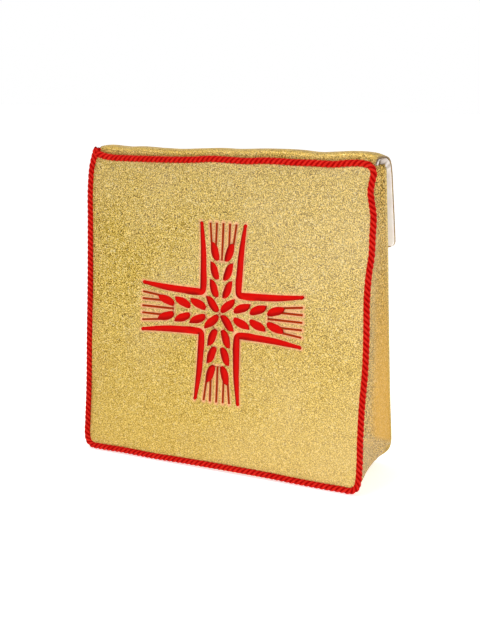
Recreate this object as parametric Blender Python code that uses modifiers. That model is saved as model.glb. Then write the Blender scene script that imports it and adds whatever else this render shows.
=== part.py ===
"""A burse: a stiff square pouch of gold lamé with a red cord edge and an embroidered cross of wheat ears.

It stands on its widening gusset with the front leaning back, and a lined flap closes the mouth and
hangs down the back. Sizes are in metres, +Z is up, and the embroidered front faces -Y.
Points are worked out from the middle of the front's foot on the floor, and one empty then moves
the whole burse so that the middle of its box is over the origin.
"""

import math

import bmesh
import bpy
import numpy as np
from mathutils import Matrix, Vector

# Whole burse
MIDDLE_X = -0.00203
MIDDLE_Y = 0.03718
GAP = 0.0003
SEAM_GAP = 0.0006
FRONT_LEAN = math.radians(5.4)

# Thickness of each cloth
FRONT_THICK = 0.0024
BACK_THICK = 0.0018
GUSSET_THICK = 0.0016
FLAP_THICK = 0.0012
LINING_THICK = 0.0010

# Twisted cord round the front
CORD_CREST = 0.00240
CORD_GROOVE = 0.00165
CORD_AXIS_Z = 0.0027
CORD_TURNS = 77
CORD_STEPS_A_TURN = 6
CORD_SIDES = 6

# The cord's line on the front: across from the middle, and up the slope from the foot.
# It starts beside its own end at the top left corner and runs clockwise.
CORD_START = (-0.1173, 0.2403)
TOP_LEFT_CORNER = (-0.1180, 0.2393)
TOP_EDGE = [
    (-0.1110, 0.2379),
    (-0.1040, 0.2366),
    (-0.0880, 0.2366),
    (-0.0650, 0.2375),
    (-0.0330, 0.2388),
    (0.0000, 0.2396),
    (0.0300, 0.2399),
    (0.0580, 0.2394),
    (0.0720, 0.2379),
    (0.0870, 0.2377),
    (0.0990, 0.2397),
    (0.1100, 0.2407),
]
RIGHT_EDGE = [
    (0.1172, 0.2390),
    (0.1200, 0.2348),
    (0.1190, 0.2290),
    (0.1172, 0.2215),
    (0.1178, 0.2125),
    (0.1196, 0.2045),
    (0.1208, 0.1900),
    (0.1205, 0.1740),
    (0.1186, 0.1450),
    (0.1189, 0.1215),
    (0.1200, 0.0920),
    (0.1189, 0.0660),
    (0.1195, 0.0400),
    (0.1203, 0.0170),
    (0.1202, 0.0080),
    (0.1189, 0.0030),
]
FOOT_EDGE = [
    (0.1152, 0.0005),
    (0.1080, 0.0000),
    (0.0600, 0.0004),
    (0.0000, 0.0000),
    (-0.0600, 0.0004),
    (-0.1090, 0.0000),
    (-0.1156, 0.0006),
]
LEFT_EDGE = [
    (-0.1192, 0.0036),
    (-0.1204, 0.0085),
    (-0.1210, 0.0200),
    (-0.1204, 0.0440),
    (-0.1212, 0.0910),
    (-0.1221, 0.1350),
    (-0.1229, 0.1600),
    (-0.1241, 0.1850),
    (-0.1247, 0.2180),
    (-0.1237, 0.2300),
    (-0.1213, 0.2375),
]
CORD_END = (-0.1190, 0.2446)
# The front's own outline has a point wherever it has turned or run on by this much
OUTLINE_TURN = math.radians(7.0)
OUTLINE_RUN = 0.0110
OUTLINE_FINE_POINTS = 640

# Gusset: from the mouth down each side to the turned-in foot and across the base
MOUTH_Z = 0.2385
SIDE_ROWS = 10
DEPTH_STEPS = 6
BASE_STEPS = 3
# Half width and height of the foot's rows, at the front edge and at the back edge
FOOT_ROWS = [
    # front_x, front_z, back_x, back_z
    (0.1196, 0.0470, 0.1190, 0.0300),
    (0.1198, 0.0340, 0.1187, 0.0208),
    (0.1200, 0.0220, 0.1170, 0.0145),
    (0.1200, 0.0120, 0.1138, 0.0102),
    (0.1194, 0.0062, 0.1103, 0.0072),
    (0.1178, 0.0026, 0.1072, 0.0044),
    (0.1150, 0.0007, 0.1052, 0.0016),
    (0.1115, 0.0000, 0.1036, 0.0000),
]
# How far each side bows inwards half way back: its foot is tucked flat, and the mouth is drawn in
SIDE_BOW = [
    # height, bow
    (0.0000, 0.0000),
    (0.0030, 0.0008),
    (0.0080, 0.0015),
    (0.0150, 0.0019),
    (0.0230, 0.0012),
    (0.0330, 0.0003),
    (0.0450, 0.0000),
    (0.1000, 0.0006),
    (0.1600, 0.0014),
    (0.2050, 0.0024),
    (0.2385, 0.0032),
]

# Back: where its outer face lies at each height
BACK_LINE = [
    # height, depth
    (0.0000, 0.0768),
    (0.0200, 0.0744),
    (0.0300, 0.0730),
    (0.0560, 0.0686),
    (0.0980, 0.0628),
    (0.1380, 0.0581),
    (0.1790, 0.0532),
    (0.2110, 0.0488),
    (0.2385, 0.0450),
]
BACK_COLUMNS = 8
BACK_SWELL = 0.0012

# Flap: its outer line from the front's top edge over the mouth and down the back
FLAP_LINE = [
    # depth, height, share of the crown's rise
    (0.0260, 0.2400, 0.0),
    (0.0262, 0.2436, 0.5),
    (0.0284, 0.2464, 1.0),
    (0.0330, 0.2478, 1.0),
    (0.0390, 0.2482, 1.0),
    (0.0445, 0.2474, 1.0),
    (0.0490, 0.2450, 0.8),
    (0.0518, 0.2410, 0.5),
    (0.0536, 0.2350, 0.2),
    (0.0557, 0.2250, 0.0),
    (0.0585, 0.2120, 0.0),
    (0.0615, 0.1970, 0.0),
    (0.0640, 0.1840, 0.0),
    (0.0645, 0.1785, 0.0),
]
# How far the uneven crown rises or dips along its length
FLAP_CROWN = [
    # across, rise
    (-0.1205, -0.0030),
    (-0.1150, -0.0012),
    (-0.1040, -0.0008),
    (-0.0950, -0.0018),
    (-0.0850, -0.0011),
    (-0.0650, -0.0020),
    (-0.0490, -0.0024),
    (-0.0280, -0.0015),
    (0.0000, -0.0004),
    (0.0280, 0.0013),
    (0.0530, 0.0013),
    (0.0720, 0.0002),
    (0.0840, 0.0010),
    (0.0960, 0.0018),
    (0.1080, 0.0004),
    (0.1205, -0.0009),
]
FLAP_HALF_WIDTH = 0.1205
FLAP_COLUMNS = 20
FLAP_CORNER = 0.0050
# The flap is narrower by this at its front edge, over this share of its length
FLAP_NARROWER = 0.0036
FLAP_NARROW_SHARE = 0.22
FLAP_WAVE = 0.0010
FLAP_WAVES = 1.15
# The rows' shares of the way from the flap's front edge to its hem, closer where it bends
FLAP_ROWS = [0.0, 0.03, 0.07, 0.12, 0.18, 0.24, 0.29, 0.34, 0.40, 0.50, 0.62, 0.75, 0.87, 0.94, 0.97, 0.99, 1.0]
LINING_GAP = 0.0005
LINING_MARGIN = 0.0010
LINING_ENDS = (0.015, 0.985)
LINING_NARROWER = 0.0012
# Past this far to the right the lining hangs loose under the crown
LINING_LOOSE_FROM = 0.0980
LINING_SAG = 0.0022

# Embroidery: four equal arms from the cross's middle, each measured along the arm and off its axis
CROSS_ACROSS = -0.0014
CROSS_UP = 0.1215
GRAIN_HEIGHT = 0.0009
AWN_HEIGHT = 0.0007
LINK_HEIGHT = 0.0004
GRAIN_WIDTH = 0.0049
AWN_WIDTH = 0.0012
LINK_WIDTH = 0.0006
BRACKET_HEIGHT = 0.0009
GRAINS = [
    # root_along, root_off, tip_along, tip_off
    (0.0410, 0.0033, 0.0552, 0.0099),
    (0.0264, 0.0027, 0.0398, 0.0097),
    (0.0126, 0.0026, 0.0261, 0.0097),
]
CORNER_GRAIN = (0.0015, 0.0126)
# A grain's half width along its length, as shares of the grain
GRAIN_SHAPE = [
    # along, half width
    (0.12, 0.60),
    (0.36, 0.98),
    (0.64, 0.86),
    (0.87, 0.42),
]
AWNS = [
    # start_along, start_off, end_along, end_off
    (0.0540, 0.0095, 0.0696, 0.0113),
    (0.0500, 0.0057, 0.0698, 0.0057),
]
MIDDLE_AWN = (0.0412, 0.0699)
LINKS = [
    # start_along, start_off, end_along, end_off
    (0.0425, 0.0040, 0.0384, 0.0090),
    (0.0276, 0.0033, 0.0248, 0.0090),
    (0.0140, 0.0032, 0.0080, 0.0068),
]
# The stitch across the ear under its middle awn, and the one through the cross's middle
EAR_LINK = (0.0416, 0.0040)
MIDDLE_LINK = 0.0030
# One half of a corner bracket, from its elbow to its tip: the side that faces the ear and the outer side
BRACKET_ELBOW = 0.0055
BRACKET_EAR_SIDE = [
    # along, off
    (0.0330, 0.0133),
    (0.0480, 0.0143),
    (0.0600, 0.0164),
    (0.0700, 0.0190),
]
BRACKET_OUTER_SIDE = [
    # along, off
    (0.0702, 0.0199),
    (0.0600, 0.0192),
    (0.0480, 0.0185),
    (0.0330, 0.0181),
]
BRACKET_INNER = 0.0130
BRACKET_OUTER = 0.0178
BRACKET_ELBOW_STEPS = 3


def clear_scene():
    for old in list(bpy.data.objects):
        bpy.data.objects.remove(old)


def cloth_material(name, colour, roughness, metallic=0.0):
    material = bpy.data.materials.new(name)
    material.use_nodes = True
    shader = material.node_tree.nodes["Principled BSDF"]
    shader.inputs["Base Color"].default_value = (*colour, 1.0)
    shader.inputs["Roughness"].default_value = roughness
    shader.inputs["Metallic"].default_value = metallic
    return material


def smooth(rows, at):
    """The value at a place on a smooth line through rows of place and value."""
    places, values = (np.array(column, float) for column in zip(*rows))
    slopes = np.gradient(values, places)
    at = np.clip(at, places[0], places[-1])
    i = np.clip(np.searchsorted(places, at) - 1, 0, len(places) - 2)
    span = places[i + 1] - places[i]
    t = (at - places[i]) / span
    start = (1 + 2 * t) * (1 - t) ** 2 * values[i] + t * (1 - t) ** 2 * span * slopes[i]
    end = t * t * (3 - 2 * t) * values[i + 1] - t * t * (1 - t) * span * slopes[i + 1]
    return start + end


def lengths(points):
    """How far along a line each of its points is."""
    return np.concatenate([[0.0], np.cumsum(np.linalg.norm(np.diff(points, axis=0), axis=1))])


def line_through(points, count, closed=False):
    """Evenly spaced points on a smooth line through the given ones."""
    lap = 3 if closed else 0
    points = np.array(points[len(points) - lap :] + points + points[: lap + 1] if closed else points, float)
    places = lengths(points)
    first, last = places[lap], places[len(places) - 1 - lap]
    fine = np.linspace(first, last, 60 * len(points))
    dense = np.stack([smooth(list(zip(places, column)), fine) for column in points.T], 1)
    gone = lengths(dense)
    steps = np.linspace(0.0, gone[-1], count, endpoint=not closed)
    return np.stack([np.interp(steps, gone, column) for column in dense.T], 1)


def inset(outline, by):
    """A closed clockwise outline moved inwards."""
    ahead = np.roll(outline, -1, 0) - np.roll(outline, 1, 0)
    ahead /= np.linalg.norm(ahead, axis=1)[:, None]
    return outline + by * np.stack([ahead[:, 1], -ahead[:, 0]], 1)


def thinned(outline):
    """A closed outline with only the points that its shape needs."""
    ahead = np.roll(outline, -1, 0) - outline
    turns = np.unwrap(np.arctan2(ahead[:, 1], ahead[:, 0]))
    kept, last_turn = [outline[0]], turns[0]
    for point, turn in zip(outline[1:], turns[1:]):
        if abs(turn - last_turn) > OUTLINE_TURN or np.linalg.norm(point - kept[-1]) > OUTLINE_RUN:
            kept.append(point)
            last_turn = turn
    return kept


def on_front(across, up, out=0.0):
    """A point of the leaning front: across it, up its slope, and out from the cord's own plane."""
    return Vector((
        across,
        up * math.sin(FRONT_LEAN) - out * math.cos(FRONT_LEAN),
        CORD_AXIS_Z + up * math.cos(FRONT_LEAN) + out * math.sin(FRONT_LEAN),
    ))


def front_matrix(across, up, out):
    """Places a flat shape on the front, its own x across, its y up the slope and its z out."""
    return Matrix.Translation(on_front(across, up, out)) @ Matrix.Rotation(math.pi / 2 - FRONT_LEAN, 4, "X")


def add_object(name, data, material, collection):
    made = bpy.data.objects.new(name, data)
    made.data.materials.append(material)
    collection.objects.link(made)
    return made


def mesh_from(name, bm):
    mesh = bpy.data.meshes.new(name)
    bm.to_mesh(mesh)
    bm.free()
    return mesh


def sheet(name, grid, thick, material, collection):
    """A cloth from rows of points on its outer face, thickened inwards."""
    bm = bmesh.new()
    rows = [[bm.verts.new(point) for point in row] for row in grid]
    for row, following in zip(rows, rows[1:]):
        for a, b, c, d in zip(row, row[1:], following[1:], following):
            bm.faces.new((a, b, c, d))
    made = add_object(name, mesh_from(name, bm), material, collection)
    made.data.shade_smooth()
    solidify = made.modifiers.new("thickness", "SOLIDIFY")
    solidify.thickness = thick
    solidify.offset = -1.0
    solidify.use_even_offset = True
    return made


def flat_outline(name, points, thick, material, collection):
    """A flat piece cut to an outline, its thickness shared between both sides of its own plane."""
    curve = bpy.data.curves.new(name, "CURVE")
    curve.dimensions = "2D"
    curve.fill_mode = "BOTH"
    curve.extrude = thick / 2
    line = curve.splines.new("POLY")
    line.points.add(len(points) - 1)
    for place, (x, y) in zip(line.points, points):
        place.co = (x, y, 0.0, 1.0)
    line.use_cyclic_u = True
    return add_object(name, curve, material, collection)


def front_panel(material, collection):
    edge = [TOP_LEFT_CORNER, *TOP_EDGE, *RIGHT_EDGE, *FOOT_EDGE, *LEFT_EDGE]
    cord_line = line_through(edge, OUTLINE_FINE_POINTS, closed=True)
    outline = thinned(inset(cord_line, CORD_CREST + GAP))
    made = flat_outline("front_panel", outline, FRONT_THICK, material, collection)
    made.matrix_world = front_matrix(0.0, 0.0, -FRONT_THICK / 2)
    return made


def edge_across(edge, up):
    """How far across the cord runs at a height on one of the front's sides."""
    rows = sorted((v, u) for u, v in edge)
    return float(smooth(rows, up))


def edge_cord(material, collection):
    """Three strands twisted to the left, as rings whose crests and grooves turn along the cord."""
    route = [CORD_START, *TOP_EDGE, *RIGHT_EDGE, *FOOT_EDGE, *LEFT_EDGE, CORD_END]
    centres = [on_front(u, v) for u, v in line_through(route, CORD_TURNS * CORD_STEPS_A_TURN + 1)]
    out = on_front(0.0, 0.0, 1.0) - on_front(0.0, 0.0)
    bm = bmesh.new()
    rings = []
    for i, centre in enumerate(centres):
        ahead = centres[min(i + 1, len(centres) - 1)] - centres[max(i - 1, 0)]
        side = ahead.normalized().cross(out)
        ring = []
        for k in range(CORD_SIDES):
            angle = 2 * math.pi * (k / CORD_SIDES - i / CORD_STEPS_A_TURN)
            reach = CORD_CREST if k % 2 == 0 else CORD_GROOVE
            ring.append(bm.verts.new(centre + reach * (math.cos(angle) * out + math.sin(angle) * side)))
        rings.append(ring)
    for ring, following in zip(rings, rings[1:]):
        for k in range(CORD_SIDES):
            n = (k + 1) % CORD_SIDES
            bm.faces.new((ring[k], ring[n], following[n], following[k]))
    bm.faces.new(reversed(rings[0]))
    bm.faces.new(rings[-1])
    return add_object("edge_cord", mesh_from("edge_cord", bm), material, collection)


def side_heights(foot_z):
    """Heights of a side's rows, from the mouth down to where its foot begins."""
    return list(np.linspace(MOUTH_Z, foot_z, SIDE_ROWS + 1))


def back_depth(z):
    """Where the gusset's back edge lies, just inside the back panel."""
    return float(smooth(BACK_LINE, z)) - BACK_THICK - SEAM_GAP


def front_depth(z):
    """Where the gusset's front edge lies, just behind the cord."""
    behind = CORD_CREST + GAP
    return (z - CORD_AXIS_Z) * math.tan(FRONT_LEAN) + behind / math.cos(FRONT_LEAN)


def gusset_half(edge, sign):
    """Front and back points of one side and its half of the base, from the mouth to the middle."""
    front, back = [], []
    front_foot, back_foot = FOOT_ROWS[0][1], FOOT_ROWS[0][3]
    for front_z, back_z in zip(side_heights(front_foot)[:-1], side_heights(back_foot)[:-1]):
        up = (front_z - CORD_AXIS_Z) / math.cos(FRONT_LEAN)
        front.append(Vector((edge_across(edge, up), front_depth(front_z), front_z)))
        back.append(Vector((sign * FOOT_ROWS[0][2], back_depth(back_z), back_z)))
    for front_x, front_z, back_x, back_z in FOOT_ROWS:
        front.append(Vector((sign * front_x, front_depth(front_z), front_z)))
        back.append(Vector((sign * back_x, back_depth(back_z), back_z)))
    for step in range(1, BASE_STEPS + 1):
        share = 1 - step / BASE_STEPS
        front.append(Vector((sign * FOOT_ROWS[-1][0] * share, front_depth(0.0), 0.0)))
        back.append(Vector((sign * FOOT_ROWS[-1][2] * share, back_depth(0.0), 0.0)))
    return front, back


def gusset(material, collection):
    left_front, left_back = gusset_half(LEFT_EDGE, -1)
    right_front, right_back = gusset_half(RIGHT_EDGE, 1)
    front = left_front + right_front[-2::-1]
    back = left_back + right_back[-2::-1]
    grid = []
    for near, far in zip(front, back):
        row = []
        for step in range(DEPTH_STEPS + 1):
            share = step / DEPTH_STEPS
            point = near.lerp(far, share)
            bow = float(smooth(SIDE_BOW, point.z)) * math.sin(math.pi * share) ** 2
            point.x -= math.copysign(bow, point.x)
            row.append(point)
        grid.append(row)
    return sheet("gusset", grid, GUSSET_THICK, material, collection)


def back_panel(material, collection):
    rows = [(z, FOOT_ROWS[0][2]) for z in side_heights(FOOT_ROWS[0][3])[:-1]]
    rows += [(max(back_z, GAP), back_x) for _, _, back_x, back_z in FOOT_ROWS]
    grid = []
    for z, half_width in rows:
        row = []
        for step in range(BACK_COLUMNS + 1):
            share = 2 * step / BACK_COLUMNS - 1
            swell = BACK_SWELL * (1 - share * share) * math.sin(math.pi * z / MOUTH_Z)
            row.append(Vector((share * half_width, float(smooth(BACK_LINE, z)) + swell, z)))
        grid.append(row)
    return sheet("back_panel", grid, BACK_THICK, material, collection)


def flap_point(across, along, narrower=FLAP_NARROWER):
    """A point on the flap's outer face: across it, and its share of the way from front to hem."""
    line = np.array(FLAP_LINE)
    gone = lengths(line[:, :2])
    place = along * gone[-1]
    y, z, share = (float(smooth(list(zip(gone, column)), place)) for column in line.T)
    from_hem = gone[-1] - place
    rounded = FLAP_CORNER - math.sqrt(FLAP_CORNER**2 - max(FLAP_CORNER - from_hem, 0.0) ** 2)
    narrowed = narrower * max(1 - along / FLAP_NARROW_SHARE, 0.0) ** 2
    x = across * (1 - (rounded + narrowed) / FLAP_HALF_WIDTH)
    z += share * float(smooth(FLAP_CROWN, x))
    y += (1 - share) * along * FLAP_WAVE * math.sin(2 * math.pi * FLAP_WAVES * x / FLAP_HALF_WIDTH)
    return Vector((x, y, z))


def lining_point(across, along):
    """A point on the lining's outer face, just inside the flap and loose at its right end."""
    inside = flap_point(across, along, LINING_NARROWER) - (FLAP_THICK + LINING_GAP) * flap_normal(across, along)
    loose = min(max((across - LINING_LOOSE_FROM) / (FLAP_HALF_WIDTH - LINING_LOOSE_FROM), 0.0), 1.0)
    crown = max(math.sin(math.pi * min(along / (2 * FLAP_NARROW_SHARE), 1.0)), 0.0)
    inside.z -= LINING_SAG * loose**2 * crown**2
    return inside


def flap_normal(across, along):
    """The way out from the flap, from its slope a little to each side."""
    aside, ahead = 0.0005, 0.02
    low, high = max(along - ahead, 0.0), min(along + ahead, 1.0)
    up_the_line = flap_point(across, high) - flap_point(across, low)
    across_it = flap_point(across + aside, along) - flap_point(across - aside, along)
    return across_it.cross(up_the_line).normalized()


def flap(material, collection):
    columns = np.linspace(-FLAP_HALF_WIDTH, FLAP_HALF_WIDTH, FLAP_COLUMNS + 1)
    grid = [[flap_point(across, along) for across in columns] for along in FLAP_ROWS]
    return sheet("flap", grid, FLAP_THICK, material, collection)


def flap_lining(material, collection):
    half = FLAP_HALF_WIDTH - LINING_MARGIN
    columns = np.linspace(-half, half, FLAP_COLUMNS + 1)
    first, last = LINING_ENDS
    rows = [first, *FLAP_ROWS[1:-2], last]
    grid = [[lining_point(across, along) for across in columns] for along in rows]
    return sheet("flap_lining", grid, LINING_THICK, material, collection)


def prism(bm, outline, low, high):
    """A closed upright solid on an anticlockwise outline."""
    floor = [bm.verts.new((x, y, low)) for x, y in outline]
    roof = [bm.verts.new((x, y, high)) for x, y in outline]
    bm.faces.new(reversed(floor))
    bm.faces.new(roof)
    for i in range(len(outline)):
        n = (i + 1) % len(outline)
        bm.faces.new((floor[i], floor[n], roof[n], roof[i]))


def facing(start, end):
    """The unit steps along and to the left of a line."""
    along = (Vector(end) - Vector(start)).normalized()
    return along, Vector((-along.y, along.x))


def grain_outline(root, tip):
    along, aside = facing(root, tip)
    size = (Vector(tip) - Vector(root)).length
    right = [Vector(root) + along * size * t - aside * GRAIN_WIDTH / 2 * w for t, w in GRAIN_SHAPE]
    left = [Vector(root) + along * size * t + aside * GRAIN_WIDTH / 2 * w for t, w in GRAIN_SHAPE]
    return [Vector(root), *right, Vector(tip), *reversed(left)]


def bar_outline(start, end, width):
    _, aside = facing(start, end)
    half = aside * width / 2
    return [Vector(start) - half, Vector(end) - half, Vector(end) + half, Vector(start) + half]


def turned(outline, quarter):
    """An outline turned by quarter turns, because all four arms are alike."""
    turn = Matrix.Rotation(quarter * math.pi / 2, 2)
    return [turn @ Vector(point) for point in outline]


def wheat_cross(material, collection, tools):
    """Four ears of grains and awns, joined by the thin stitches between them."""
    grains, stitches = bmesh.new(), bmesh.new()
    for quarter in range(4):
        near, far = CORNER_GRAIN
        prism(grains, turned(grain_outline((near, near), (far, far)), quarter), 0.0, GRAIN_HEIGHT)
        middle = bar_outline((MIDDLE_AWN[0], 0.0), (MIDDLE_AWN[1], 0.0), AWN_WIDTH)
        prism(stitches, turned(middle, quarter), 0.0, AWN_HEIGHT)
        for sign in (-1, 1):
            for root_along, root_off, tip_along, tip_off in GRAINS:
                grain = grain_outline((root_along, sign * root_off), (tip_along, sign * tip_off))
                prism(grains, turned(grain, quarter), 0.0, GRAIN_HEIGHT)
            for start_along, start_off, end_along, end_off in AWNS:
                awn = bar_outline((start_along, sign * start_off), (end_along, sign * end_off), AWN_WIDTH)
                prism(stitches, turned(awn, quarter), 0.0, AWN_HEIGHT)
            for start_along, start_off, end_along, end_off in LINKS:
                link = bar_outline((start_along, sign * start_off), (end_along, sign * end_off), LINK_WIDTH)
                prism(stitches, turned(link, quarter), 0.0, LINK_HEIGHT)
        along, off = EAR_LINK
        prism(stitches, turned(bar_outline((along, off), (along, -off), LINK_WIDTH), quarter), 0.0, LINK_HEIGHT)
    for sign in (-1, 1):
        start, end = (-MIDDLE_LINK, -sign * MIDDLE_LINK), (MIDDLE_LINK, sign * MIDDLE_LINK)
        prism(stitches, bar_outline(start, end, LINK_WIDTH), 0.0, LINK_HEIGHT)
    made = add_object("wheat_cross", mesh_from("wheat_cross", grains), material, collection)
    joined = add_object("wheat_stitches", mesh_from("wheat_stitches", stitches), material, tools)
    joined.hide_render = True
    joined.display_type = "WIRE"
    made.matrix_world = joined.matrix_world = front_matrix(CROSS_ACROSS, CROSS_UP, GAP)
    union = made.modifiers.new("stitches", "BOOLEAN")
    union.operation = "UNION"
    union.solver = "EXACT"
    union.use_self = True
    union.object = joined
    return made, joined


def bracket_outline():
    """A corner bracket: two tapering bars that meet in an elbow, rounded towards the cross's middle."""
    middle = BRACKET_INNER + BRACKET_ELBOW
    elbow = []
    for step in range(BRACKET_ELBOW_STEPS + 1):
        angle = math.pi * (1 + step / BRACKET_ELBOW_STEPS / 2)
        elbow.append((middle + BRACKET_ELBOW * math.cos(angle), middle + BRACKET_ELBOW * math.sin(angle)))
    one_arm = [*BRACKET_EAR_SIDE, *BRACKET_OUTER_SIDE]
    other_arm = [(off, along) for along, off in reversed(one_arm)]
    corner = [(BRACKET_OUTER, BRACKET_OUTER)]
    return [*elbow, *one_arm, *corner, *other_arm]


def brackets(material, collection):
    made = []
    for quarter in range(4):
        name = f"bracket_{quarter + 1}"
        outline = turned(bracket_outline(), quarter)
        piece = flat_outline(name, outline, BRACKET_HEIGHT, material, collection)
        piece.matrix_world = front_matrix(CROSS_ACROSS, CROSS_UP, GAP + BRACKET_HEIGHT / 2)
        made.append(piece)
    return made


def build():
    clear_scene()
    parts = bpy.data.collections.new("burse")
    tools = bpy.data.collections.new("joining_shapes")
    for collection in (parts, tools):
        bpy.context.scene.collection.children.link(collection)

    gold = cloth_material("gold_lame", (0.61, 0.43, 0.12), 0.45, 0.4)
    side_gold = cloth_material("gold_lame_side", (0.56, 0.37, 0.09), 0.45, 0.4)
    red_cord = cloth_material("red_cord", (0.62, 0.01, 0.01), 0.5)
    red_thread = cloth_material("red_thread", (0.72, 0.01, 0.01), 0.4)
    white = cloth_material("white_lining", (0.80, 0.78, 0.76), 0.7)

    made = [
        front_panel(gold, parts),
        edge_cord(red_cord, parts),
        gusset(side_gold, parts),
        back_panel(gold, parts),
        flap(gold, parts),
        flap_lining(white, parts),
        *wheat_cross(red_thread, parts, tools),
        *brackets(red_thread, parts),
    ]
    middle = bpy.data.objects.new("burse_middle", None)
    parts.objects.link(middle)
    for piece in made:
        piece.parent = middle
    middle.location = (-MIDDLE_X, -MIDDLE_Y, 0.0)


build()
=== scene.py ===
"""The looks of a burse: gold lamé cloths, a twisted red cord, and wheat ears in satin stitch.

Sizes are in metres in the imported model's frame: +Z is up and the embroidered front faces -Y.
Each piece made here stands for one solid and keeps to its place. A place on the leaning front is
given as how far across it is, how far up the slope from the cord at the foot, and how far out from
the cord's plane.
"""

import math

import bpy
import numpy as np
from mathutils import Matrix, Vector


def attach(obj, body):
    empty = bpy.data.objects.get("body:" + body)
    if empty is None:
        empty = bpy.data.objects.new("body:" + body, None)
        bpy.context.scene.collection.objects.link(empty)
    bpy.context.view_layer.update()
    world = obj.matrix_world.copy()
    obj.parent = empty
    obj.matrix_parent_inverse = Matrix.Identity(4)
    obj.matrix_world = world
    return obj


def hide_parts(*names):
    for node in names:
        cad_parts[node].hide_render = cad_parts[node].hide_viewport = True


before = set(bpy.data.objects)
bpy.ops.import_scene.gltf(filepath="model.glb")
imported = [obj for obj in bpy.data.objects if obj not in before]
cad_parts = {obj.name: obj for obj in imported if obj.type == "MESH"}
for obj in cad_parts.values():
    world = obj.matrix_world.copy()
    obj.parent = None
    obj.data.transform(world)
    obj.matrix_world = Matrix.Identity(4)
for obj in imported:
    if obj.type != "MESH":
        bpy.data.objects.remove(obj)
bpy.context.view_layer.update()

# Smooth lines: fine steps for each given point, and how many points a closed one laps
CURVE_STEPS = 60
CURVE_LAP = 3

# Whole burse
MIDDLE_X = -0.00203
MIDDLE_Y = 0.03718
SEAM_GAP = 0.0006
FRONT_LEAN = math.radians(5.4)
BACK_THICK = 0.0018
GUSSET_THICK = 0.0014
FLAP_THICK = 0.0009
LINING_THICK = 0.0008
# A cloth's edges are rounded out by this share of its thickness
EDGE_ROUND = 0.3

# Twisted cord: three strands that turn round its line
CORD_CREST = 0.0026
CORD_AXIS_Z = 0.0027
CORD_GAP = 0.0003
CORD_TURNS = 77
# The ends are sewn down thicker over this length
CORD_END_SWELL = 0.16
CORD_END_LENGTH = 0.016
CORD_STEPS_A_TURN = 14
STRANDS = 3
STRAND_RADIUS = 0.00143
STRAND_SIDES = 16
YARN_DEPTH = 0.00007
YARN_TURNS_A_TURN = 0.9
# Painted shade and highlight: its colour deepens towards its line between these distances, and in its
# yarn grooves
CORD_TONE = (0.00166, 0.00292)
YARN_TONE = 0.12

# The cord's line on the front: across from the middle, and up the slope from the foot
CORD_START = (-0.1212, 0.241)
TOP_LEFT_CORNER = (-0.1196, 0.2404)
TOP_EDGE = [
    (-0.111, 0.238), (-0.104, 0.2373), (-0.088, 0.2372), (-0.065, 0.2374), (-0.033, 0.2382),
    (-0.013, 0.2396), (0.0, 0.2394), (0.017, 0.2391), (0.03, 0.2399), (0.058, 0.2396),
    (0.072, 0.2397), (0.087, 0.2395), (0.099, 0.2408), (0.109, 0.2409),
]
RIGHT_EDGE = [
    (0.1154, 0.2391), (0.1179, 0.235), (0.1173, 0.229), (0.1164, 0.2215), (0.118, 0.2125),
    (0.1196, 0.2045), (0.1199, 0.19), (0.12, 0.174), (0.119, 0.164), (0.1184, 0.145),
    (0.1195, 0.1215), (0.1203, 0.092), (0.1195, 0.066), (0.1196, 0.04), (0.1203, 0.017),
    (0.12, 0.008), (0.1187, 0.003),
]
FOOT_EDGE = [
    (0.1152, 0.0004), (0.108, 0.0002), (0.07, 0.0003), (0.045, 0.0009), (0.0, 0.0009),
    (-0.025, 0.0007), (-0.06, 0.0002), (-0.085, 0.0006), (-0.109, 0.0003), (-0.1156, 0.0006),
]
LEFT_EDGE = [
    (-0.1195, 0.0036), (-0.1207, 0.0085), (-0.1208, 0.02), (-0.1205, 0.044), (-0.1213, 0.091),
    (-0.1219, 0.135), (-0.1225, 0.16), (-0.1232, 0.185), (-0.1238, 0.218), (-0.1228, 0.23),
    (-0.1208, 0.2375),
]
CORD_END = (-0.1183, 0.2441)

# Front cloth: how it turns round its board, from the board's back to its face
FRONT_TURN = [
    # in from the cord's line, out from its plane
    (0.006, -0.0024), (0.0024, -0.0024), (0.0017, -0.00215), (0.0017, -0.0017),
    (0.00185, -0.0011), (0.00205, -0.0006), (0.00225, -0.00024), (0.0026, -0.00004),
]
FRONT_STEPS = 200
OUTLINE_FINE_POINTS = 2400
# Its face waves a little, and less within this share of the way in from a side
FACE_SWELL = 0.00022
FACE_RIPPLE = 0.00012
FACE_EDGE_SHARE = 0.02
# It is warmer in tone beside the cord
EDGE_HALO = 0.3
EDGE_HALO_SHARE = 0.01

# Gusset
MOUTH_Z = 0.2385
# The gusset reaches this much higher at the mouth than the back
GUSSET_RISE = 0.002
GUSSET_SIDE_ROWS = 110
GUSSET_FOOT_ROWS = 64
GUSSET_BASE_ROWS = 24
GUSSET_DEPTH_STEPS = 28
FOOT_ROWS = [
    # front_x, front_z, back_x, back_z
    (0.1196, 0.047, 0.119, 0.03), (0.1198, 0.034, 0.1187, 0.0208),
    (0.12, 0.022, 0.117, 0.0145), (0.12, 0.012, 0.1138, 0.0102),
    (0.1194, 0.0062, 0.1103, 0.0072), (0.1178, 0.0026, 0.1072, 0.0044),
    (0.115, 0.0007, 0.1052, 0.0016), (0.1115, 0.0, 0.1036, 0.0),
]
SIDE_BOW = [
    # height, bow
    (0.0, 0.0), (0.003, 0.0008), (0.008, 0.0015), (0.015, 0.0019), (0.023, 0.0012),
    (0.033, 0.0003), (0.045, 0.0), (0.1, 0.0006), (0.16, 0.0014), (0.205, 0.0024),
    (0.2385, 0.0032),
]
# Soft folds that run down from the mouth and fade
GUSSET_FOLDS = [
    # place across the depth, width, how deep, how far down
    (0.34, 0.1, 0.0008, 0.07),
    (0.62, 0.09, -0.0007, 0.055),
    (0.8, 0.07, 0.0005, 0.04),
]
FOLD_FADE = 1.5

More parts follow.
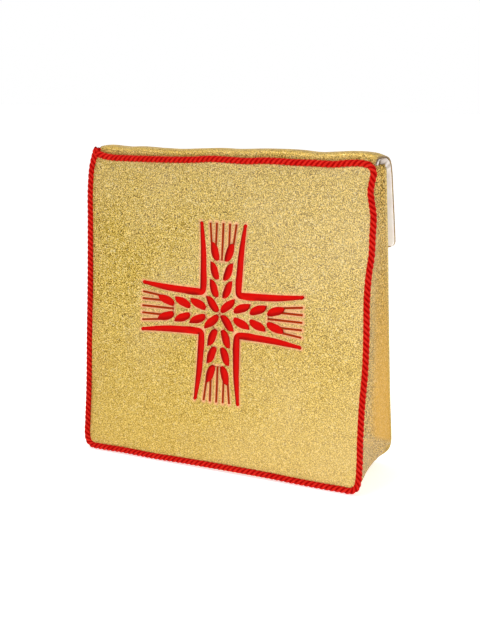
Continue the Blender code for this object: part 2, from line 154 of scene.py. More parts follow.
# The foot is turned in along a crease that runs down from the front edge to the back edge
CREASE_FRONT_Z = 0.0434
CREASE_BACK_Z = 0.0193
CREASE_RIDGE = 0.0007
CREASE_WIDTH = 0.0016
CREASE_TUCK = 0.0012
TUCK_RISE = 0.004
TUCK_FADE = (0.01, 0.034)
# The gusset's tone is high above the crease and towards the back
CALM_ABOVE = (-0.001, 0.004)
CALM_FADE = (0.06, 0.2)
CALM_SHARE = (0.12, 0.55)
# On the right a pale patch by the crease is a painted reflection of light
SHEEN_PATCH_SHARE = 0.27
SHEEN_PATCH_LENGTH_SHARE = 0.12
SHEEN_PATCH_Z = 0.0345
SHEEN_PATCH_HEIGHT = 0.0042
# Just behind the cord the gusset dips by this much
FRONT_TUCK = 0.0014
FRONT_TUCK_SHARE = 0.07
FRONT_TUCK_RISE = (0.03, 0.08)

# Back
BACK_LINE = [
    # height, depth
    (0.0, 0.0768), (0.02, 0.0744), (0.03, 0.073), (0.056, 0.0686), (0.098, 0.0628),
    (0.138, 0.0581), (0.179, 0.0532), (0.211, 0.0488), (0.2385, 0.045),
]
BACK_SWELL = 0.0012
BACK_RIPPLE = 0.0003
BACK_COLUMNS = 90
BACK_SIDE_ROWS = 80
BACK_FOOT_ROWS = 40
BACK_FOOT_Z = 0.0007

# Flap and its lining
FLAP_LINE = [
    # depth, height, share of the crown's rise
    (0.0256, 0.24, 0.0), (0.0256, 0.2434, 0.4), (0.0262, 0.2457, 0.9), (0.0284, 0.2474, 1.0),
    (0.033, 0.2482, 1.0), (0.039, 0.2482, 1.0), (0.0443, 0.2473, 1.0), (0.0488, 0.2448, 0.8),
    (0.0517, 0.2408, 0.5), (0.0536, 0.235, 0.2), (0.0557, 0.225, 0.0), (0.0585, 0.212, 0.0),
    (0.0615, 0.197, 0.0), (0.0642, 0.1825, 0.0), (0.0647, 0.1767, 0.0),
]
FLAP_CROWN = [
    # across, rise
    (-0.1205, -0.0012), (-0.115, -0.0004), (-0.104, -0.0008), (-0.095, -0.0012),
    (-0.085, -0.0007), (-0.065, -0.0013), (-0.049, -0.0015), (-0.028, -0.0004),
    (-0.012, 0.0004), (0.0, 0.0002), (0.028, 0.0013), (0.053, 0.0013), (0.072, 0.0002),
    (0.084, 0.001), (0.096, 0.0018), (0.108, 0.0017), (0.114, 0.001), (0.1205, -0.0011),
]
FLAP_HALF_WIDTH = 0.1205
FLAP_CORNER = 0.005
FLAP_NARROWER = 0.0036
FLAP_NARROW_SHARE = 0.22
FLAP_WAVE = 0.001
FLAP_WAVES = 1.15
FLAP_COLUMNS = 190
FLAP_ROWS = 84
FLAP_EDGE_WIDTH = 0.0016
LINING_GAP = 0.0005
LINING_MARGIN = 0.0005
LINING_ENDS = (0.015, 0.985)
LINING_NARROWER = 0.0012
# At the right end of the crown it is crumpled, and bulges into the mouth
LINING_LOOSE_FROM = 0.098
LINING_LOOSE_RISE = 0.014
LINING_LOOSE_TO = 0.1165
LINING_CROWN_SHARE = 0.4
LINING_BULGES = [
    # place along it, width, how far
    (0.075, 0.045, 0.0042),
    (0.3, 0.06, 0.0062),
]
LINING_UNEVEN = 0.25
LINING_CRUMPLE = 0.0012
# The crumpled end lies in its own shade, and deeper in the hollows
LINING_SHADE = 0.46
LINING_HOLLOW_SHADE = 0.54
LINING_FOLD_HOLLOW = 0.8
# Between the bulges it leaves a dark hollow: where along it, how wide
LINING_HOLLOW = (0.175, 0.035)

# Embroidery: four equal arms, measured from the cross's middle along the arm and off its axis
CROSS_ACROSS = -0.0014
CROSS_UP = 0.1215
STITCH_PITCH = 0.00042
STITCH_RIDGE = 0.00004
STITCH_BITE = 0.00005
# A thread's points, as shares of its way across, closer together near its ends
STITCH_SHARES = (1 - np.cos(np.linspace(0.0, math.pi, 11)))[None, :] / 2
# How square a thread's rise is, and the widths from which it has its full rise and tone
DOME_SHOULDER = 2.2
DOME_ROUND = 0.6
FULL_RISE_WIDTH = 0.002
FULL_TONE_WIDTH = 0.004
# Rows between the thread crests are painted this much deeper, as painted shade
STITCH_TONE = 0.12
# The awns are of single threads, painted deeper and browner, partly as painted shade: their tone lies
# this much lower
AWN_TONE = -3.0
# The flanks that face left and down are painted deeper, as painted shade
FLANK_PAINTED_SHADE = 1.0
FLANK_SHARE = (0.42, 0.88)
FLANK_WAY = (-0.9, -0.44)
GRAIN_HEIGHT = 0.0014
AWN_HEIGHT = 0.0009
BRACKET_HEIGHT = 0.0013
GRAIN_SLANT = 0.16
GRAIN_WIDTH = 0.0069
AWN_WIDTH = 0.0017
LINK_RADIUS = 0.00016
LINK_STEPS = 9
LINK_SIDES = 6
LINK_LIFT = 0.0003
GRAINS = [
    # root_along, root_off, tip_along, tip_off
    (0.041, 0.0033, 0.0552, 0.0099),
    (0.0264, 0.0027, 0.0398, 0.0097),
    (0.0126, 0.0026, 0.0261, 0.0097),
]
CORNER_GRAIN = (0.0015, 0.0126)
# A grain's half width on each side along its length, as shares of half its width
GRAIN_AXIS_SIDE = [
    # along, half width
    (0.0, 0.38), (0.1, 0.62), (0.35, 0.86), (0.62, 1.00), (0.85, 0.72), (1.00, 0.1),
]
GRAIN_OUTER_SIDE = [
    # along, half width
    (0.0, 0.34), (0.1, 0.74), (0.35, 1.00), (0.62, 0.84), (0.85, 0.44), (1.00, 0.1),
]
AWNS = [
    # start_along, start_off, end_along, end_off
    (0.054, 0.0095, 0.0696, 0.0113),
    (0.05, 0.0057, 0.0698, 0.0057),
]
MIDDLE_AWN = (0.0412, 0.0699)
LINKS = [
    # start_along, start_off, end_along, end_off
    (0.0425, 0.004, 0.0384, 0.009),
    (0.0276, 0.0033, 0.0248, 0.009),
    (0.014, 0.0032, 0.008, 0.0068),
]
EAR_LINK = (0.0416, 0.004)
MIDDLE_LINK = 0.003
BRACKET_ELBOW = 0.0055
ELBOW_POINTS = 9
BRACKET_EAR_SIDE = [
    # along, off
    (0.033, 0.013), (0.048, 0.014), (0.06, 0.0158), (0.067, 0.0171), (0.0694, 0.0176),
    (0.0702, 0.0186),
]
BRACKET_OUTER_SIDE = [
    # along, off
    (0.0704, 0.019), (0.0698, 0.02), (0.067, 0.02), (0.06, 0.0196), (0.048, 0.0189),
    (0.033, 0.0184),
]
BRACKET_INNER = 0.0128
BRACKET_OUTER = 0.0181

# Stitched shapes as straight runs: a grain's half widths, and how far along it is widest
GRAIN_ROOT_HALF = 0.0006
GRAIN_MIDDLE = 0.48
GRAIN_RUN_WIDTH = 0.94
GRAIN_TIP_HALF = 0.0002
BRACKET_ARM = [
    # along, off, half width
    (0.048, 0.0164, 0.0021),
    (0.0701, 0.0195, 0.0005),
]
# The cloth dips beside a stitched edge, and rises again within this far
PUCKER_REACH = 0.0022
PUCKER_DEPTH = 0.00022
HALO_REACH = 0.002

# Lamé: dull, middle and bright threads, sparks, pale patches and painted sheen, where its tone is high,
# at the foot
GOLD = ["4E3A06", "B89839", "EACE74", "F8EAB4", "DECAA6", "F2AE88", "C4A65A"]
FLAP_GOLD = ["4A3604", "B49238", "E0C068", "F0DCA0", "DCC496", "8C745A", "CCAA50"]
SIDE_GOLD = ["4E3A18", "AE8E48", "E4BE68", "F4DA94", "C8A468", "D49C06", "CCAA50"]
GRAIN_PLACES = (0.37, 0.5, 0.6)
CELL_SCALE = 0.8
SPARK_CHANCE = (0.84, 0.98)
SPARK_SHARE = 0.5
PATCH_SCALE = 14.0
# Painted sheen: how fast the pale shade grows towards the right and up
SHEEN_ACROSS = 1.5
SHEEN_UP = 0.7
PALE_RANGE = (0.42, 0.9)
PALE_SHARE = 0.3
EVEN_RANGE = (0.15, 0.02)
EVEN_SHARE = 0.42
SHEEN_PATCH_PALE = 0.45
LAME_WEAVE_SCALE = 900.0
LAME_WEAVE_SHARE = 0.15
LAME_ROUGHNESS = (0.55, 0.3)
LAME_RELIEF = 0.0004

# Threads: painted shade in the hollows, between, bright on the crests (on the cord a painted
# highlight), and where they lie singly
CORD_RED = ["800000", "B00200", "DE382A", "800000"]
STITCH_RED = ["800200", "A80502", "C80D06", "962E0A"]
THREAD_PLACES = (0.0, 0.55, 1.0)
SINGLE_TONE = (-1.0, -2.0)
ROUGHNESS_SPREAD = 0.08
THREAD_RELIEF = 0.0001

# Lining: its shade side, where it is lit, and in its hollows
LINING_WHITE = ["ECE2DC", "FFFCFA", "785828"]
LINING_PLACES = (0.3, 0.62)
LINING_WEAVE_SCALE = 1400.0
LINING_ROUGHNESS = (0.62, 0.48)
LINING_RELIEF = 0.0002

# Camera: its turn and tilt, and how far it is to the right, up and back by them
CAMERA_TURN = math.radians(27.241)
CAMERA_TILT = math.radians(12.685)
CAMERA_PLACE = (0.019714, 0.115571, 0.903985)
CAMERA_LENS = 64.69

# The studio: a white horizon under a greyer sky, a white floor that glows, and soft lamps
WHITE = (1.0, 1.0, 1.0, 1.0)
SKY_SHADE = (0.41, 0.41, 0.41, 1.0)
SKY_PLACES = (0.0, 0.2, 0.5, 1.0)
FLOOR_SIZE = 12.0
FLOOR_SHADE = (0.9, 0.9, 0.9, 1.0)
FLOOR_GLOW = 0.62
LIGHTS = [
    # name, place, aim, size, power, colour
    ("key_light", (0.5, -0.58, 0.14), (0.07, 0.0, 0.07), 0.24, 1.2, (1.0, 0.98, 0.95)),
    ("sheen_light", (0.0, -1.1, 0.12), (0.08, 0.0, 0.12), 0.35, 0.7, (1.0, 1.0, 1.0)),
    ("top_light", (-0.1, -0.12, 1.2), (0.0, 0.0, 0.22), 0.4, 8.2, (1.0, 0.96, 0.84)),
]


# Lines and places


def smooth(rows, at):
    """The values at places on a smooth line through rows of place and value."""
    places, values = (np.array(column, float) for column in zip(*rows))
    slopes = np.gradient(values, places)
    at = np.clip(at, places[0], places[-1])
    i = np.clip(np.searchsorted(places, at) - 1, 0, len(places) - 2)
    span = places[i + 1] - places[i]
    t = (at - places[i]) / span
    start = (1 + 2 * t) * (1 - t) ** 2 * values[i] + t * (1 - t) ** 2 * span * slopes[i]
    end = t * t * (3 - 2 * t) * values[i + 1] - t * t * (1 - t) * span * slopes[i + 1]
    return start + end


def lengths(points):
    """How far along a line each of its points is."""
    return np.concatenate([[0.0], np.cumsum(np.linalg.norm(np.diff(points, axis=0), axis=1))])


def line_through(points, count, closed=False):
    """Evenly spaced points on a smooth line through the given ones."""
    lap = CURVE_LAP if closed else 0
    if closed:
        points = points[-lap:] + points + points[: lap + 1]
    points = np.array(points, float)
    places = lengths(points)
    fine = np.linspace(places[lap], places[len(places) - 1 - lap], CURVE_STEPS * len(points))
    dense = np.stack([smooth(list(zip(places, column)), fine) for column in points.T], 1)
    gone = lengths(dense)
    steps = np.linspace(0.0, gone[-1], count, endpoint=not closed)
    return np.stack([np.interp(steps, gone, column) for column in dense.T], 1)


def unit(vectors):
    """Vectors made one long, but for those that have no length."""
    return vectors / np.maximum(np.linalg.norm(vectors, axis=-1, keepdims=True), 1e-12)


def ease(low, high, values):
    """0 below low, 1 above high, and a smooth rise between them."""
    t = np.clip((values - low) / (high - low), 0.0, 1.0)
    return t * t * (3 - 2 * t)


def hump(values, place, width):
    """1 at a place, with a smooth fall over about this width on both sides."""
    return np.exp(-(((values - place) / width) ** 2))


def on_front(across, up, out=0.0):
    """Points of the leaning front in the model's frame."""
    across, up, out = np.broadcast_arrays(np.asarray(across, float), up, out)
    return np.stack([
        across - MIDDLE_X,
        up * math.sin(FRONT_LEAN) - out * math.cos(FRONT_LEAN) - MIDDLE_Y,
        CORD_AXIS_Z + up * math.cos(FRONT_LEAN) + out * math.sin(FRONT_LEAN),
    ], -1)


def placed(points):
    """Points measured from the middle of the front's foot, in the model's frame."""
    return points - np.array([MIDDLE_X, MIDDLE_Y, 0.0])


# Meshes


def add_object(name, data):
    """A new object that shows its data in the scene."""
    made = bpy.data.objects.new(name, data)
    bpy.context.scene.collection.objects.link(made)
    return made


def piece(name, points, faces, uvs, tone, material, slot, *nodes):
    """A mesh that rides on the burse and stands for the named solids.

    It has a map of its threads, and a tone at each point that its material reads."""
    mesh = bpy.data.meshes.new(name)
    mesh.from_pydata(points.tolist(), [], faces)
    corners = np.zeros(len(mesh.loops), np.int32)
    mesh.loops.foreach_get("vertex_index", corners)
    thread_map = mesh.uv_layers.new(name="threads")
    thread_map.data.foreach_set("uv", uvs[corners].astype(np.float32).ravel())
    tones = np.broadcast_to(tone, len(points)).astype(np.float32)
    mesh.attributes.new("tone", "FLOAT", "POINT").data.foreach_set("value", tones)
    mesh.shade_smooth()
    mesh.materials.append(material)
    made = add_object(name, mesh)
    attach(made, "root")
    if nodes:
        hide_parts(*nodes)
    return made


def grid_faces(rows, columns, first=0, closed=False):
    """Faces of a grid of points, joined round from the last column to the first if closed."""
    r = np.arange(rows - 1)[:, None]
    c = np.arange(columns if closed else columns - 1)[None, :]
    n = (c + 1) % columns
    a, b = r * columns + c, r * columns + n
    quads = np.stack([a, b, b + columns, a + columns], -1).reshape(-1, 4)
    return (quads + first).tolist()


def tube_faces(rows, columns, first):
    """Faces of a tube with closed ends. They look out if its rings turn clockwise, seen along it."""
    faces = grid_faces(rows, columns, first, closed=True)
    last = first + (rows - 1) * columns
    return faces + [[*range(first + columns - 1, first - 1, -1)], [*range(last, last + columns)]]


def normals(grid):
    """The way out from a grid of points, to the side where its rows and columns turn."""
    return unit(np.cross(np.gradient(grid, axis=1), np.gradient(grid, axis=0)))


def flat_places(grid):
    """How far along its rows and down its columns each point of a cloth lies."""
    across = np.cumsum(np.linalg.norm(np.diff(grid, axis=1, prepend=grid[:, :1]), axis=2), axis=1)
    along = np.cumsum(np.linalg.norm(np.diff(grid, axis=0, prepend=grid[:1]), axis=2), axis=0)
    return np.stack([across - across[:, -1:] / 2, along], -1)


def edge_loop(rows, columns):
    """Row and column of each point round a grid's edge, with the grid on the left."""
    down = [(r, 0) for r in range(rows - 1)]
    right = [(rows - 1, c) for c in range(columns - 1)]
    up = [(r, columns - 1) for r in range(rows - 1, 0, -1)]
    left = [(0, c) for c in range(columns - 1, 0, -1)]
    return np.array(down + right + up + left)


def cloth(name, outer, thick, material, slot, *nodes, tone=0.0):
    """A cloth from the grid of its outer face, thickened inwards and with rounded edges."""
    rows, columns = outer.shape[:2]
    inner = outer - thick * normals(outer)
    beyond = np.zeros_like(outer)
    beyond[0] += unit(outer[0] - outer[1])
    beyond[-1] += unit(outer[-1] - outer[-2])
    beyond[:, 0] += unit(outer[:, 0] - outer[:, 1])
    beyond[:, -1] += unit(outer[:, -1] - outer[:, -2])
    loop = edge_loop(rows, columns)
    r, c = loop.T
    rim = (outer[r, c] + inner[r, c]) / 2 + unit(beyond[r, c]) * thick * EDGE_ROUND
    count = rows * columns
    points = np.concatenate([outer.reshape(-1, 3), inner.reshape(-1, 3), rim])
    faces = grid_faces(rows, columns)
    faces += [[count + i for i in reversed(face)] for face in faces]
    top = r * columns + c
    middle = 2 * count + np.arange(len(loop))
    for near, far in ((top, middle), (middle, top + count)):
        quads = np.stack([near, far, np.roll(far, -1), np.roll(near, -1)], 1)
        faces += quads[:, ::-1].tolist()
    uv = flat_places(outer)
    uvs = np.concatenate([uv.reshape(-1, 2), uv.reshape(-1, 2), uv[r, c]])
    tones = np.broadcast_to(tone, outer.shape[:2])
    tones = np.concatenate([tones.ravel(), tones.ravel(), tones[r, c]])
    return piece(name, points, faces, uvs, tones, material, slot, *nodes)


# Materials


def colour(hexed):
    """A colour as the screen shows it, as the numbers that a shader takes."""
    parts = [int(hexed[i : i + 2], 16) / 255 for i in (0, 2, 4)]
    return (*[x / 12.92 if x <= 0.04045 else ((x + 0.055) / 1.055) ** 2.4 for x in parts], 1.0)


def node(tree, kind, sockets=None, **settings):
    """A shader node with its sockets linked or set, and its settings set."""
    made = tree.nodes.new("ShaderNode" + kind)
    for name, value in settings.items():
        setattr(made, name, value)
    for name, value in (sockets or {}).items():
        if isinstance(value, bpy.types.NodeSocket):
            tree.links.new(value, made.inputs[name])
        else:
            made.inputs[name].default_value = value
    return made


def new_material(name):
    """A material with its shader, and the places and the tone that its patterns go by."""
    made = bpy.data.materials.new(name)
    made.use_nodes = True
    tree = made.node_tree
    shader = tree.nodes["Principled BSDF"]
    where = node(tree, "TexCoord").outputs["Object"]
    threads = node(tree, "UVMap", uv_map="threads").outputs["UV"]
    tone = node(tree, "Attribute", attribute_name="tone").outputs["Fac"]
    return made, tree, shader, where, threads, tone


def ramp(tree, factor, places, shades):
    """Colours that change with a factor, each at its place."""
    made = node(tree, "ValToRGB", {"Fac": factor})
    band = made.color_ramp
    while len(band.elements) < len(places):
        band.elements.new(0.5)
    for element, place, shade in zip(band.elements, places, shades):
        element.position = place
        element.color = shade
    return made.outputs["Color"]


def mix(tree, factor, first, second):
    return node(tree, "Mix", {0: factor, 6: first, 7: second}, data_type="RGBA").outputs[2]


def maths(tree, operation, first, second):
    return node(tree, "Math", {0: first, 1: second}, operation=operation).outputs[0]


def added(tree, *terms):
    """The sum of values, each times its weight."""
    total, *others = (maths(tree, "MULTIPLY", value, weight) for value, weight in terms)
    for other in others:
        total = maths(tree, "ADD", total, other)
    return total


def ranged(tree, value, low, high, to_low=0.0, to_high=1.0):
    """A value brought from one range to another, and held at its ends."""
    sockets = {"Value": value, "From Min": low, "From Max": high, "To Min": to_low, "To Max": to_high}
    return node(tree, "MapRange", sockets).outputs["Result"]


def surface(tree, shader, shade, roughness, relief, strength, distance):
    """Links a shader's colour, roughness and relief to the sockets that give them."""
    bump = node(tree, "Bump", {"Height": relief, "Strength": strength, "Distance": distance})
    tree.links.new(shade, shader.inputs["Base Color"])
    tree.links.new(roughness, shader.inputs["Roughness"])
    tree.links.new(bump.outputs["Normal"], shader.inputs["Normal"])


def noise(tree, where, scale, detail, **others):
    sockets = {"Vector": where, "Scale": scale, "Detail": detail, **others}
    return node(tree, "TexNoise", sockets).outputs["Fac"]


def lame(name, shades, calm_share, lean, metallic, scale):
    """Gold lamé: a grain of dull and bright metal threads with sparks, over a fine weave.

    By its lean it takes a painted sheen, paler towards the top right, and it is more even towards the
    foot.
    Where its tone is high it is calm, and where it is low it is painted pale, as a reflection."""
    made, tree, shader, where, threads, tone = new_material(name)
    *grain_shades, spark, pale, calm, even = (colour(hexed) for hexed in shades)
    grain = noise(tree, where, scale, 1.0, Roughness=0.5, Distortion=0.4)
    shade = ramp(tree, grain, GRAIN_PLACES, grain_shades)
    cells = node(tree, "TexVoronoi", {"Vector": where, "Scale": scale * CELL_SCALE}, feature="F1")
    chance = node(tree, "SeparateColor", {"Color": cells.outputs["Color"]}).outputs["Red"]
    shade = mix(tree, ranged(tree, chance, *SPARK_CHANCE, to_high=SPARK_SHARE), shade, spark)
    patches = noise(tree, where, PATCH_SCALE, 3.0, Roughness=0.55)
    place = node(tree, "SeparateXYZ", {0: where}).outputs
    # Pale patches, and by the lean a painted sheen towards the top right
    patches_and_sheen = added(
        tree, (place["X"], SHEEN_ACROSS * lean), (patches, 1.0), (place["Z"], SHEEN_UP * lean)
    )
    shade = mix(tree, ranged(tree, patches_and_sheen, *PALE_RANGE, to_high=PALE_SHARE), shade, pale)
    shade = mix(tree, ranged(tree, place["Z"], *EVEN_RANGE, to_high=EVEN_SHARE * lean), shade, even)
    shade = mix(tree, ranged(tree, tone, 0.0, 1.0, to_high=calm_share), shade, calm)
    # A low tone paints a pale reflection
    shade = mix(tree, ranged(tree, tone, 0.0, -1.0, to_high=SHEEN_PATCH_PALE), shade, pale)
    sockets = {"Vector": threads, "Scale": LAME_WEAVE_SCALE, "Distortion": 0.6, "Detail": 1.0}
    weave = node(tree, "TexWave", sockets, wave_type="BANDS", bands_direction="DIAGONAL")
    relief = added(tree, (grain, 1.0), (weave.outputs["Fac"], LAME_WEAVE_SHARE))
    roughness = ranged(tree, chance, 0.0, 1.0, *LAME_ROUGHNESS)
    surface(tree, shader, shade, roughness, relief, 0.6, LAME_RELIEF)
    shader.inputs["Metallic"].default_value = metallic
    shader.inputs["Specular IOR Level"].default_value = 0.08
    return made


def thread(name, shades, across_scale, along_scale, roughness):
    """Silky thread: fine fibres along its map, deeper where its tone is low, as painted shade in the
    hollows.

    Where its tone is far below nothing it takes the colour of a thread that lies singly, browner and
    deeper, partly as painted shade."""
    made, tree, shader, where, threads, tone = new_material(name)
    *twist_shades, single = (colour(hexed) for hexed in shades)
    sockets = {0: threads, 1: (across_scale, along_scale, 1.0)}
    stretched = node(tree, "VectorMath", sockets, operation="MULTIPLY").outputs[0]
    fibres = noise(tree, stretched, 1.0, 3.0, Roughness=0.6)
    patches = noise(tree, where, 160.0, 2.0)
    level = added(tree, (fibres, 0.5), (patches, 0.3), (tone, 1.0))
    shade = ramp(tree, maths(tree, "SUBTRACT", level, 0.4), THREAD_PLACES, twist_shades)
    shade = mix(tree, ranged(tree, tone, *SINGLE_TONE), shade, single)
    ends = (roughness + ROUGHNESS_SPREAD, roughness - ROUGHNESS_SPREAD)
    surface(tree, shader, shade, ranged(tree, fibres, 0.3, 0.7, *ends), fibres, 0.4, THREAD_RELIEF)
    shader.inputs["Specular IOR Level"].default_value = 0.03
    return made


def lining_white(name, shades):
    """White lining: a close weave with faint crumples, and darker where its tone is high."""
    made, tree, shader, where, threads, tone = new_material(name)
    *cloth_shades, hollow = (colour(hexed) for hexed in shades)
    sockets = {"Vector": threads, "Scale": LINING_WEAVE_SCALE, "Distortion": 0.4}
    weft, warp = (
        node(tree, "TexWave", sockets, wave_type="BANDS", bands_direction=way).outputs["Fac"]
        for way in ("X", "Y")
    )
    patches = noise(tree, where, 70.0, 4.0)
    level = added(tree, (weft, 0.25), (patches, 0.75))
    shade = ramp(tree, level, LINING_PLACES, cloth_shades)
    shade = mix(tree, ranged(tree, tone, 0.0, 1.0), shade, hollow)
    relief = maths(tree, "ADD", maths(tree, "MULTIPLY", weft, warp), patches)
    roughness = ranged(tree, patches, 0.3, 0.7, *LINING_ROUGHNESS)
    surface(tree, shader, shade, roughness, relief, 0.3, LINING_RELIEF)
    shader.inputs["Sheen Weight"].default_value = 0.2
    return made


# Front


def cord_outline():
    """The cord's closed line, fine, with the unit step inwards at each point. It runs clockwise."""
    edge = [TOP_LEFT_CORNER, *TOP_EDGE, *RIGHT_EDGE, *FOOT_EDGE, *LEFT_EDGE]
    line = line_through(edge, OUTLINE_FINE_POINTS, closed=True)
    ahead = unit(np.roll(line, -1, 0) - np.roll(line, 1, 0))
    return line, np.stack([ahead[:, 1], -ahead[:, 0]], 1)


def front_rings():
    """The turned edge as closed rings, each its points across and up, and how far out it is."""
    line, inwards = cord_outline()
    middle = line.mean(0)
    corners = []
    for across_sign, up_sign in ((-1, 1), (1, 1), (1, -1), (-1, -1)):
        reach = (line - middle) @ np.array([across_sign, up_sign])
        corners.append(int(reach.argmax()))
    picks = []
    for start, end in zip(corners, corners[1:] + corners[:1]):
        end += OUTLINE_FINE_POINTS if end <= start else 0
        picks.append(np.linspace(start, end, FRONT_STEPS, endpoint=False))
    picks = np.concatenate(picks)
    laps = 3
    whole = np.arange(laps * OUTLINE_FINE_POINTS)
    lapped = [np.interp(picks, whole, np.tile(column, laps)) for column in (*line.T, *inwards.T)]
    at, to = np.stack(lapped[:2], 1), unit(np.stack(lapped[2:], 1))
    return [(at + by * to, out) for by, out in FRONT_TURN]


def ring_sides(ring):
    """A ring's top, right, foot and left, from left to right or from top to foot."""
    n = FRONT_STEPS
    ring = np.concatenate([ring, ring[:1]])
    return ring[: n + 1], ring[n : 2 * n + 1], ring[2 * n : 3 * n + 1][::-1], ring[3 * n :][::-1]


def filled(ring):
    """A grid of places that fills a ring, and each one's share of the way from a side."""
    top, right, foot, left = ring_sides(ring)
    u = np.linspace(0.0, 1.0, FRONT_STEPS + 1)[None, :, None]
    v = np.linspace(0.0, 1.0, FRONT_STEPS + 1)[:, None, None]
    along = (1 - v) * top[None] + v * foot[None]
    down = (1 - u) * left[:, None] + u * right[:, None]
    corners = (1 - v) * ((1 - u) * top[0] + u * top[-1]) + v * ((1 - u) * foot[0] + u * foot[-1])
    from_side = np.minimum(np.minimum(u, 1 - u), np.minimum(v, 1 - v))[..., 0]
    return along + down - corners, from_side


def mirrored(rows):
    """Each row's start and end on both sides of the axis, and the sign of the side."""
    return [((a, s * b), (c, s * d), s) for s in (-1, 1) for a, b, c, d in rows]


def arm_stitches():
    """One arm's grains, each with the side that it leans to, and its awns."""
    near, far = CORNER_GRAIN
    grains = [((near, near), (far, far), 1), *mirrored(GRAINS)]
    awns = [((MIDDLE_AWN[0], 0.0), (MIDDLE_AWN[1], 0.0))]
    return grains, awns + [awn[:2] for awn in mirrored(AWNS)]


def stitched_runs():
    """Every stitched shape as straight tapering runs: start, end, and half widths there."""
    grains, awns = arm_stitches()
    elbow = (BRACKET_INNER + BRACKET_OUTER) / 2
    arm = [(elbow, elbow, (BRACKET_OUTER - BRACKET_INNER) / 2), *BRACKET_ARM]
    runs = []
    for sign in (-1, 1):
        for (a, b, half), (c, d, end_half) in zip(arm, arm[1:]):
            runs.append(((a, sign * b), (c, sign * d), half, end_half))
    widest = GRAIN_RUN_WIDTH * GRAIN_WIDTH / 2
    for start, end, _ in grains:
        start, end = np.array(start), np.array(end)
        middle = start + GRAIN_MIDDLE * (end - start)
        runs.append((start, middle, GRAIN_ROOT_HALF, widest))
        runs.append((middle, end, widest, GRAIN_TIP_HALF))
    runs += [(start, end, AWN_WIDTH / 2, AWN_WIDTH / 2) for start, end in awns]
    return [(*turned([a, b], quarter), *halves) for quarter in range(4) for a, b, *halves in runs]


def stitched_distance(across, up):
    """How far each place is from the nearest stitched shape, and below nothing inside one."""
    nearest = np.full(across.shape, 1.0)
    spots = np.stack([across - CROSS_ACROSS, up - CROSS_UP], -1)
    for start, end, start_half, end_half in stitched_runs():
        run = end - start
        share = np.clip(((spots - start) @ run) / (run @ run), 0.0, 1.0)
        off = np.linalg.norm(spots - start - share[..., None] * run, axis=-1)
        nearest = np.minimum(nearest, off - start_half - (end_half - start_half) * share)
    return nearest


def front_cloth(material):
    """The lamé stretched over the board, with its edge turned and a dip at the stitches."""
    rings = front_rings()
    edge, edge_out = rings[-1]
    count = len(edge)
    places, from_side = filled(edge)
    across, up = places[..., 0], places[..., 1]
    off = stitched_distance(across, up)
    dip = PUCKER_DEPTH * (1 - ease(0.0, PUCKER_REACH, off))
    swell = FACE_SWELL * np.sin(across * 57 + 1.3) * np.sin(up * 49 + 0.4)
    ripple = FACE_RIPPLE * np.sin(across * 131 + up * 96)
    out = edge_out + (swell + ripple - dip) * ease(0.0, FACE_EDGE_SHARE, from_side)
    points = [on_front(at[:, 0], at[:, 1], ring_out) for at, ring_out in rings]
    points.append(on_front(across, up, out)[1:-1, 1:-1].reshape(-1, 3))
    points = np.concatenate(points)
    # The face's outer points are the last ring's own
    inside = FRONT_STEPS - 1
    index = np.zeros((inside + 2, inside + 2), np.int64)
    last_ring = (len(rings) - 1) * count + np.arange(count)
    index[0], index[:, -1], index[-1], index[:, 0] = ring_sides(last_ring)
    index[1:-1, 1:-1] = len(rings) * count + np.arange(inside**2).reshape(inside, inside)
    quads = np.stack([index[:-1, :-1], index[1:, :-1], index[1:, 1:], index[:-1, 1:]], -1)
    faces = quads.reshape(-1, 4).tolist()
    faces += [face[::-1] for face in grid_faces(len(rings), count, closed=True)]
    faces.append(list(range(count)))
    halo = np.zeros(len(points))
    edge_halo = EDGE_HALO * (1 - ease(0.0, EDGE_HALO_SHARE, from_side))
    glow = np.maximum(1 - ease(0.0, HALO_REACH, off), edge_halo)
    halo[len(rings) * count :] = glow[1:-1, 1:-1].ravel()
    uvs = points[:, [0, 2]]
    made = piece("front_cloth", points, faces, uvs, halo, material, "gold_lame", "front_panel")


# Cord


